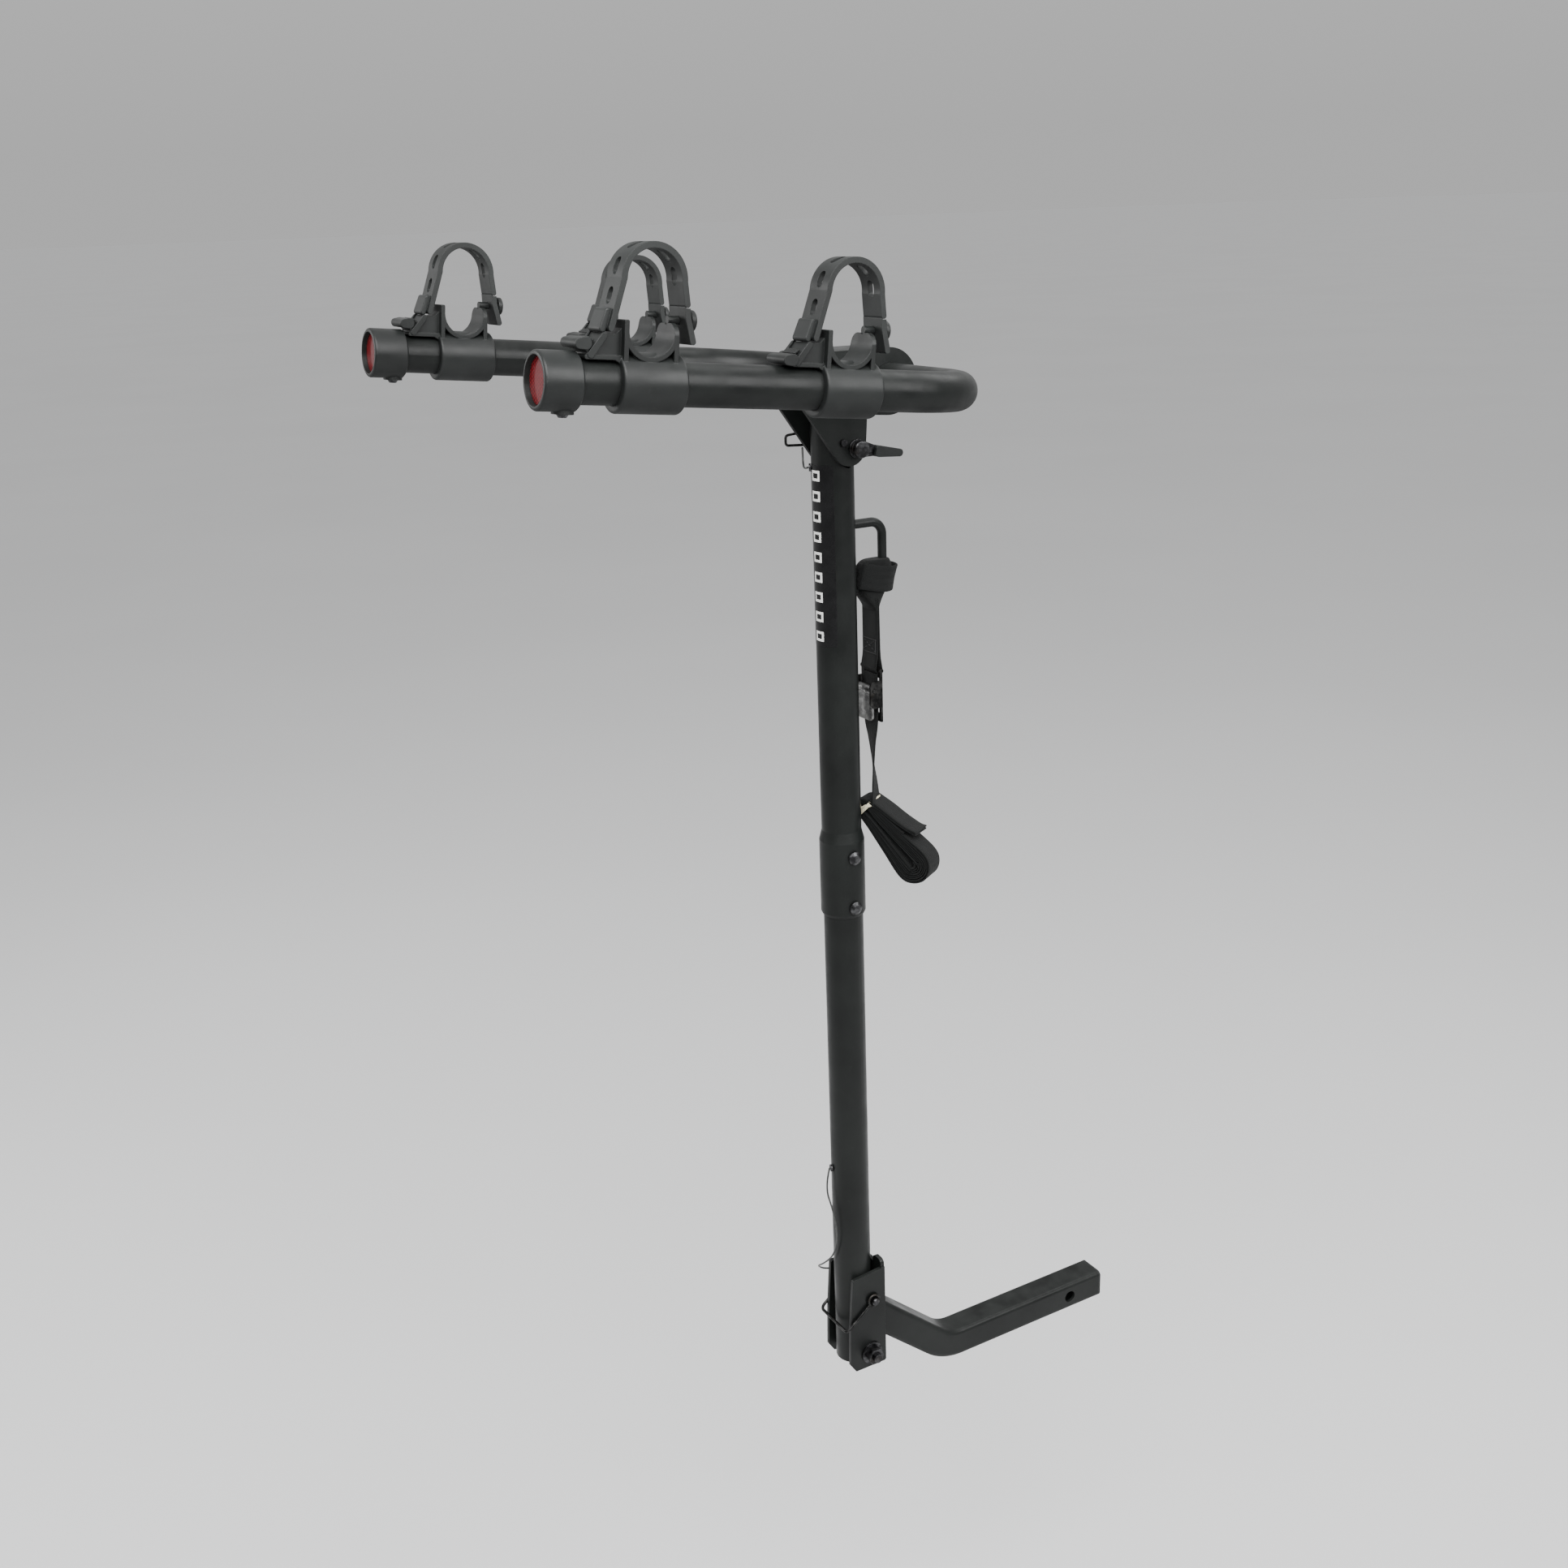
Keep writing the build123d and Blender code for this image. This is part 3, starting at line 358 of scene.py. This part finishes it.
def smooth_line(points, count):
    """Catmull-Rom samples through tuples of any length, evenly spaced along the line."""
    rows = [tuple(p) for p in points]
    n = len(rows)
    steps = 24
    dense = []
    for i in range(n - 1):
        near = rows[max(i - 1, 0)], rows[i], rows[i + 1], rows[min(i + 2, n - 1)]
        for k in range(steps):
            dense.append(tuple(catmull_rom(k / steps, *values) for values in zip(*near)))
    dense.append(rows[-1])
    far = [0.0]
    for a, b in zip(dense, dense[1:]):
        far.append(far[-1] + math.dist(a[:3], b[:3]))
    out = []
    j = 0
    for k in range(count):
        s = far[-1] * k / (count - 1)
        while j < len(far) - 2 and far[j + 1] < s:
            j += 1
        t = (s - far[j]) / max(far[j + 1] - far[j], 1e-9)
        out.append(tuple(a + (b - a) * min(t, 1.0) for a, b in zip(dense[j], dense[j + 1])))
    return out


def tape(name, stations, width, thick, material, count, wobble, seed):
    """Closed flat tape along stations (x, y, z, wx, wy, wz), w being the way its width lies.

    Its edges are thinner than its middle, and the middle drifts by the wobble at each sample.
    """
    rng = random.Random(seed)
    line = smooth_line(stations, count)
    bm = bmesh.new()
    uv = bm.loops.layers.uv.new("UVMap")
    across = (-1.0, -0.93, -0.5, 0.0, 0.5, 0.93, 1.0)
    ring_uv = []
    rings = []
    run = 0.0
    last = None
    drift = 0.0
    for i, s in enumerate(line):
        p = Vector(s[:3])
        a = Vector(line[max(i - 1, 0)][:3])
        b = Vector(line[min(i + 1, count - 1)][:3])
        along = (b - a).normalized()
        w = Vector(s[3:6])
        w = (w - along * w.dot(along)).normalized()
        n = along.cross(w)
        drift = 0.85 * drift + rng.uniform(-1, 1) * wobble
        run += 0.0 if last is None else (p - last).length
        last = p
        ring = []
        for side in (1, -1):
            for c in across if side == 1 else reversed(across):
                thin = 0.45 if abs(c) == 1.0 else 1.0
                q = p + w * (c * width / 2) + n * (side * thin * thick / 2 + drift * (1 - c * c))
                ring.append((bm.verts.new(q), c * width / 2))
        rings.append(ring)
        ring_uv.append(run)
    size = len(rings[0])
    for i in range(count - 1):
        for k in range(size):
            j = (k + 1) % size
            quad = ((i, k), (i, j), (i + 1, j), (i + 1, k))
            face = bm.faces.new([rings[r][c][0] for r, c in quad])
            face.smooth = True
            for loop, (r, c) in zip(face.loops, quad):
                loop[uv].uv = (ring_uv[r], rings[r][c][1])
    for r in (0, count - 1):
        order = rings[r] if r else rings[r][::-1]
        face = bm.faces.new([v for v, _ in order])
        for loop, (_, c) in zip(face.loops, order):
            loop[uv].uv = (ring_uv[r], c)
    bmesh.ops.recalc_face_normals(bm, faces=bm.faces)
    mesh = bpy.data.meshes.new(name)
    bm.to_mesh(mesh)
    bm.free()
    return add_object(name, mesh, material)


def stitches(name, spots, length, material):
    """Rows of sewn thread: short bars that dip at both ends. spots are (point, direction, outward)."""
    radius = 0.00028
    sides = 6
    bm = bmesh.new()
    for point, way, out in spots:
        p, d, n = Vector(point), Vector(way).normalized(), Vector(out).normalized()
        side = d.cross(n)
        rings = []
        for t, lift in ((-0.5, -0.6), (-0.3, 0.55), (0.0, 0.8), (0.3, 0.55), (0.5, -0.6)):
            c = p + d * (t * length) + n * (lift * radius)
            rings.append([bm.verts.new(c + (side * math.cos(a) + n * math.sin(a)) * radius)
                          for a in (k * math.pi / 3 for k in range(sides))])
        for r0, r1 in zip(rings, rings[1:]):
            for k in range(sides):
                j = (k + 1) % sides
                face = bm.faces.new((r0[k], r0[j], r1[j], r1[k]))
                face.smooth = True
        bm.faces.new(rings[0][::-1])
        bm.faces.new(rings[-1])
    bmesh.ops.recalc_face_normals(bm, faces=bm.faces)
    mesh = bpy.data.meshes.new(name)
    bm.to_mesh(mesh)
    bm.free()
    return add_object(name, mesh, material)


def cord_tube(name, points, radius, material):
    """Round cable along a smooth route, as a mesh, and the points of its centreline."""
    curve = bpy.data.curves.new(name, "CURVE")
    curve.dimensions = "3D"
    curve.bevel_depth = radius
    curve.bevel_resolution = 5
    curve.resolution_u = 16
    curve.use_fill_caps = True
    spline = curve.splines.new("NURBS")
    spline.points.add(len(points) - 1)
    for p, co in zip(spline.points, points):
        p.co = (*co, 1.0)
    spline.order_u = 3
    spline.use_endpoint_u = True
    route = add_object(name + "_route", curve, material)
    tube = bpy.data.meshes.new_from_object(route)
    curve.bevel_depth = 0.0
    bpy.context.view_layer.update()
    line = bpy.data.meshes.new_from_object(route)
    bpy.data.objects.remove(route)
    return add_object(name, tube, material), [tuple(v.co) for v in line.vertices]


# ---- cords ---------------------------------------------------------------------------------------
def rivet_end(z, deg):
    """Point on a cable rivet's head, just outside the mast at this height and angle."""
    a = math.radians(deg)
    r = MAST_R + 0.003
    return (MAST_X + math.cos(a) * r, math.sin(a) * r, z)


def make_lanyards(material):
    """Thin tether cables from the mast rivets to the two lock pins."""
    m = MAST_X
    x, z = LOW_PIN
    low = [rivet_end(0.259, 169.0), (m - 0.0255, 0.008, 0.236), (m - 0.0235, -0.004, 0.214),
           (m - 0.0225, -0.010, 0.186), (m - 0.023, -0.002, 0.160), (m - 0.026, 0.014, 0.142),
           (m - 0.024, 0.032, 0.128), (m - 0.008, 0.041, 0.113), (x - 0.0019, 0.0416, z + 0.0015)]
    x, z = TOP_PIN
    y = PLATE_OUT_Y + 0.0085
    top = [(x - 0.008, y, z - 0.0082), (x - 0.0097, y - 0.0031, z - 0.0206),
           (x - 0.0148, y - 0.0136, z - 0.0258), rivet_end(0.965, 152.0)]
    for name, points in (("lower_lanyard", low), ("upper_lanyard", top)):
        cord, path = cord_tube(name + "_cable", points, CABLE_R, material)
        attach(cord, "mast")
        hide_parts(name)


# ---- tie strap -----------------------------------------------------------------------------------
def soft_piece(obj, slot, *nodes):
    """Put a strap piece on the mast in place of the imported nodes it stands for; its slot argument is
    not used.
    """
    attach(obj, "mast")
    if nodes:
        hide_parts(*nodes)


def make_upper_strap(web, sewn):
    """Doubled webbing: down the front, round the buckle's bar and up the back."""
    x = BUCKLE_X
    y_way, z_way = (0.0, 1.0, 0.0), (0, 0, 1)
    ahead, behind = (1, 0, 0), (-1, 0, 0)
    top, bar_z, r = 0.842, 0.775, 0.0033
    path = [(x + 0.001, top), (x + 0.0012, 0.812), (x + 0.0016, 0.79), (x + r * 0.94, 0.7785),
            (x + r, bar_z), (x, bar_z - r), (x - r, bar_z), (x - r * 0.94, 0.7785),
            (x - 0.0013, 0.79), (x - 0.001, 0.812), (x - 0.001, top)]
    stations = [(px, 0, pz, *y_way) for px, pz in path]
    strap = tape("tie_strap_upper_web", stations, WEB_WIDTH, WEB_THICK, web, 160, 0.00004, 3)
    soft_piece(strap, "black_webbing", "tie_strap_upper")
    back_x, front_x = x - 0.0023, x + 0.0026
    pitch = 0.0026
    spots = []
    for z in (0.7905, 0.8035):
        for k in range(9):
            spots.append(((back_x, -4 * pitch + k * pitch, z), y_way, behind))
            spots.append(((front_x, -4 * pitch + k * pitch, z), y_way, ahead))
    for k in range(5):
        z = 0.7925 + k * 0.0022
        for side in (-1, 1):
            spots.append(((back_x, side * 0.0105, z), z_way, behind))
            spots.append(((back_x, side * (0.0095 - k * 0.0042), z), (0, -side * 1.9, 1), behind))
    soft_piece(stitches("tie_strap_stitches", spots, 0.0021, sewn), "black_webbing")


def pouch(name, sections, lean, material):
    """Skin through level sections (z, x0, x1, half depth, mid y), its weave leaning by an angle."""
    around, levels = 72, 60
    rows = smooth_line([(s[1], s[3], s[0], s[2], s[4]) for s in sections], levels)
    bm = bmesh.new()
    uv = bm.loops.layers.uv.new("UVMap")
    rings = []
    c, t = math.cos(lean), math.sin(lean)
    for x0, half, z, x1, y0 in rows:
        ring = []
        for k in range(around):
            a = 2 * math.pi * k / around
            px = math.copysign(abs(math.cos(a)) ** 0.62, math.cos(a))
            py = math.copysign(abs(math.sin(a)) ** 0.75, math.sin(a))
            p = Vector(((x0 + x1) / 2 + (x1 - x0) / 2 * px, y0 + half * py, z))
            across = px * (x1 - x0) / 2
            ring.append((bm.verts.new(p), (z * c + across * t, across * c - z * t)))
        rings.append(ring)
    for lower, upper in zip(rings, rings[1:]):
        for k in range(around):
            j = (k + 1) % around
            quad = (lower[k], lower[j], upper[j], upper[k])
            face = bm.faces.new([v for v, _ in quad])
            face.smooth = True
            for loop, (_, place) in zip(face.loops, quad):
                loop[uv].uv = place
    bm.faces.new([v for v, _ in rings[0]][::-1])
    bm.faces.new([v for v, _ in rings[-1]])
    bmesh.ops.recalc_face_normals(bm, faces=bm.faces)
    mesh = bpy.data.meshes.new(name)
    bm.to_mesh(mesh)
    bm.free()
    return add_object(name, mesh, material)


def make_hook_loop(web):
    """Webbing hitched round the hook rod: a gathered collar with a fold laid over its near side."""
    m = MAST_X
    outline = [(0.831, 0.0352, 0.0402, 0.0122), (0.836, 0.0318, 0.0425, 0.0118),
               (0.842, 0.0268, 0.0468, 0.0112), (0.849, 0.0224, 0.0518, 0.0106),
               (0.856, 0.0212, 0.0562, 0.0104), (0.863, 0.0212, 0.0592, 0.0102),
               (0.869, 0.0226, 0.0590, 0.0096), (0.874, 0.0262, 0.0578, 0.0088),
               (0.8765, 0.0305, 0.0566, 0.008), (0.8772, 0.034, 0.0555, 0.006)]
    sections = [(z, m + back, m + front, half, 0.0) for z, back, front, half in outline]
    gathered = pouch("tie_strap_hitch", sections, math.radians(38), web)
    soft_piece(gathered, "black_webbing", "tie_strap_loop")
    path = [(m + 0.0225, -0.0035, 0.8635, 0.25, 0.0, 1), (m + 0.0232, -0.0098, 0.8645, 0.3, 0.0, 1),
            (m + 0.0295, -0.0118, 0.8632, 0.35, 0.0, 1), (m + 0.04, -0.0121, 0.8605, 0.4, 0.0, 1),
            (m + 0.051, -0.0113, 0.859, 0.42, 0.02, 1), (m + 0.0588, -0.0072, 0.8592, 0.35, 0.1, 1),
            (m + 0.0606, 0.0, 0.860, 0.3, 0.1, 1), (m + 0.058, 0.0075, 0.8605, 0.3, 0.0, 1),
            (m + 0.049, 0.0113, 0.861, 0.3, 0.0, 1), (m + 0.036, 0.012, 0.862, 0.3, 0.0, 1)]
    fold = tape("tie_strap_keeper", path, 0.0235, WEB_THICK, web, 130, 0.00004, 6)
    soft_piece(fold, "black_webbing")


def make_tail(web):
    """Single webbing: flat through the buckle, turned edge-on below it, turning back at the hank."""
    x = BUCKLE_X - 0.0019
    m = MAST_X
    drop = [(x, 0.7712, 90), (x, 0.75, 90), (x, 0.735, 90), (x + 0.0003, 0.72, 84),
            (m + 0.0362, 0.706, 72), (m + 0.0368, 0.69, 63), (m + 0.0376, 0.674, 55),
            (m + 0.0386, 0.658, 47), (m + 0.0396, 0.641, 41)]
    stations = []
    for px, pz, deg in drop:
        turn = math.radians(deg)
        stations.append((px, 0, pz, math.cos(turn), math.sin(turn), 0))
    tail = tape("tie_strap_tail_web", stations, WEB_WIDTH, WEB_THICK, web, 110, 0.00005, 8)
    soft_piece(tail, "black_webbing", "tie_strap_tail")


def hank_point(a, b, y=0.0):
    """Point of the hank: a along its length, b across its layers, y along the webbing's width."""
    c, t = math.cos(HANK_DIP), math.sin(HANK_DIP)
    out = HANK_OUT + a * c + b * t
    k, j = math.cos(HANK_TURN), math.sin(HANK_TURN)
    return (HANK_AT[0] + out * k - y * j, out * j + y * k, HANK_AT[1] - a * t + b * c)


def hank_turn(r, rng):
    """One lap of the teardrop at radius r: round lower end, both sides, pinched upper end."""
    round_a, tip_a = 0.036, -0.037
    bend = [math.radians(deg) for deg in (90, 45, 0, -45, -90)]
    spots = [(round_a + r * math.cos(t), r * math.sin(t)) for t in bend]
    tip = 0.0006 + 0.37 * r
    spots += [(0.008, -0.78 * r), (-0.018, -0.56 * r), (tip_a, -tip), (tip_a - tip, 0.0)]
    spots += [(tip_a, tip), (-0.018, 0.56 * r), (0.008, 0.78 * r)]
    return [(a, b + rng.uniform(-1, 1) * 0.00012) for a, b in spots]


def hank_stations(spots, rng, slip):
    """Tape stations through points of the hank, each slipped a little sideways and tilted."""
    tilt = 0.03
    j, k = -math.sin(HANK_TURN), math.cos(HANK_TURN)
    return [(*hank_point(a, b, rng.uniform(-1, 1) * slip), j, k, rng.uniform(-1, 1) * tilt)
            for a, b in spots]


def make_hank(web, cream):
    """Spare webbing wound flat, its free end laid along the top, held by an elastic band."""
    rng = random.Random(11)
    laps, core_r, layer = 8, 0.0032, 0.00205
    spots = []
    for k in range(laps):
        lap = hank_turn(core_r + layer * k, rng)
        wider = hank_turn(core_r + layer * (k + 1), rng)
        for i, (p, q) in enumerate(zip(lap, wider)):
            t = i / len(lap)
            spots.append((p[0] + (q[0] - p[0]) * t, p[1] + (q[1] - p[1]) * t))
    stations = hank_stations(spots, rng, 0.0005)
    body = tape("tie_strap_hank", stations, HANK_WIDTH, 0.00145, web, 900, 0.00003, 9)
    soft_piece(body, "black_webbing", "tie_strap_bundle")
    for name, lift, reach in (("tie_strap_end", 0.0, 0.0175), ("tie_strap_end_fold", 0.0019, 0.016)):
        flap = [(-0.038, 0.0078), (-0.022, 0.0125), (-0.006, 0.0162),
                (0.006, 0.0196), (0.012, 0.0222), (reach, 0.0246)]
        stations = hank_stations([(a, b + lift) for a, b in flap], rng, 0.0002)
        end = tape(name, stations, HANK_WIDTH, WEB_THICK, web, 60, 0.00003, 10)
        soft_piece(end, "black_webbing")
    tip, base = Vector(hank_point(1.0, 0.0)), Vector(hank_point(0.0, 0.0))
    for name, turn, reach in (("hank_elastic", 0.0, -0.0340), ("hank_elastic_cross", 20.0, -0.0358)):
        steps = 24
        band = []
        for k in range(steps + 1):
            a = 2 * math.pi * k / steps
            lean = math.tan(math.radians(turn)) * math.sin(a) * 0.012
            up = 0.0112 if math.sin(a) > 0 else 0.0092
            b = up * math.copysign(abs(math.sin(a)) ** 0.7, math.sin(a))
            y = 0.0136 * math.copysign(abs(math.cos(a)) ** 0.5, math.cos(a))
            band.append((*hank_point(reach + lean, b, y), *(tip - base)))
        ring = tape(name, band, 0.0036, 0.0011, cream, 120, 0.00003, 12)
        soft_piece(ring, "cream_elastic", *(("bundle_band",) if turn == 0.0 else ()))


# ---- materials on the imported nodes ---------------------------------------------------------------
def dress(materials, special):
    """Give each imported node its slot's material, or its own special one."""
    for node in frame["record"]["subparts"]:
        name = node["node"]
        obj = bpy.data.objects[name]
        mat = special.get(name) or materials[node["material_slot"]]
        obj.data.materials.clear()
        obj.data.materials.append(mat)


# ---- room ----------------------------------------------------------------------------------------
def make_room():
    floor = bpy.data.meshes.new("floor")
    s = FLOOR_HALF
    z = CAD_BOX[0][2] - FLOOR_DROP
    floor.from_pydata([(-s, -s, z), (s, -s, z), (s, s, z), (-s, s, z)], [], [(0, 1, 2, 3)])
    m = Mat("floor_paper")
    m.colour(m.mix(m.ramp(m.noise(0.7), 0.0, 1.0), (0.56, 0.562, 0.565), (0.575, 0.577, 0.58)))
    m.set(Roughness=0.9)
    add_object("floor", floor, m.mat)
    world = bpy.data.worlds.new("world")
    world.use_nodes = True
    back = world.node_tree.nodes["Background"]
    coord = world.node_tree.nodes.new("ShaderNodeTexCoord")
    split = world.node_tree.nodes.new("ShaderNodeSeparateXYZ")
    height = world.node_tree.nodes.new("ShaderNodeMapRange")
    for key, value in (("From Min", 0.04), ("From Max", 0.9), ("To Min", 0.5), ("To Max", 1.0)):
        height.inputs[key].default_value = value
    world.node_tree.links.new(coord.outputs["Generated"], split.inputs[0])
    world.node_tree.links.new(split.outputs["Z"], height.inputs["Value"])
    world.node_tree.links.new(height.outputs["Result"], back.inputs["Color"])
    back.inputs["Strength"].default_value = 1.0
    bpy.context.scene.world = world
    for name, at, look, size, power in LIGHTS:
        data = bpy.data.lights.new(name, "AREA")
        data.energy = power
        data.size = size
        lamp = bpy.data.objects.new(name, data)
        lamp.location = at
        lamp.rotation_euler = (Vector(look) - Vector(at)).to_track_quat("-Z", "Y").to_euler()
        bpy.context.scene.collection.objects.link(lamp)


def main():
    make_camera()
    web = webbing()
    cream = elastic()
    sewn = thread()
    dark = zinc("dark_wire", (0.012, 0.012, 0.012), (0.04, 0.04, 0.039), 0.4)
    slots = {
        "powder_coat": powder_coat(),
        "zinc_steel": zinc(),
        "dark_wire": dark,
        "black_plastic": plastic(),
        "strap_rubber": rubber(),
        "black_webbing": web,
        "cream_elastic": cream,
        "red_reflector": reflector(),
        "label_film": label(),
        "coated_cable": cable(),
    }
    make_lanyards(slots["coated_cable"])
    grey = zinc("grey_zinc", (0.12, 0.12, 0.12), (0.3, 0.3, 0.295), 0.34)
    dress(slots, {"cam_buckle_lever": grey, "cam_buckle_frame": dark, "cam_buckle_pin": dark})
    make_upper_strap(web, sewn)
    make_hook_loop(web)
    make_tail(web)
    make_hank(web, cream)
    make_room()


main()
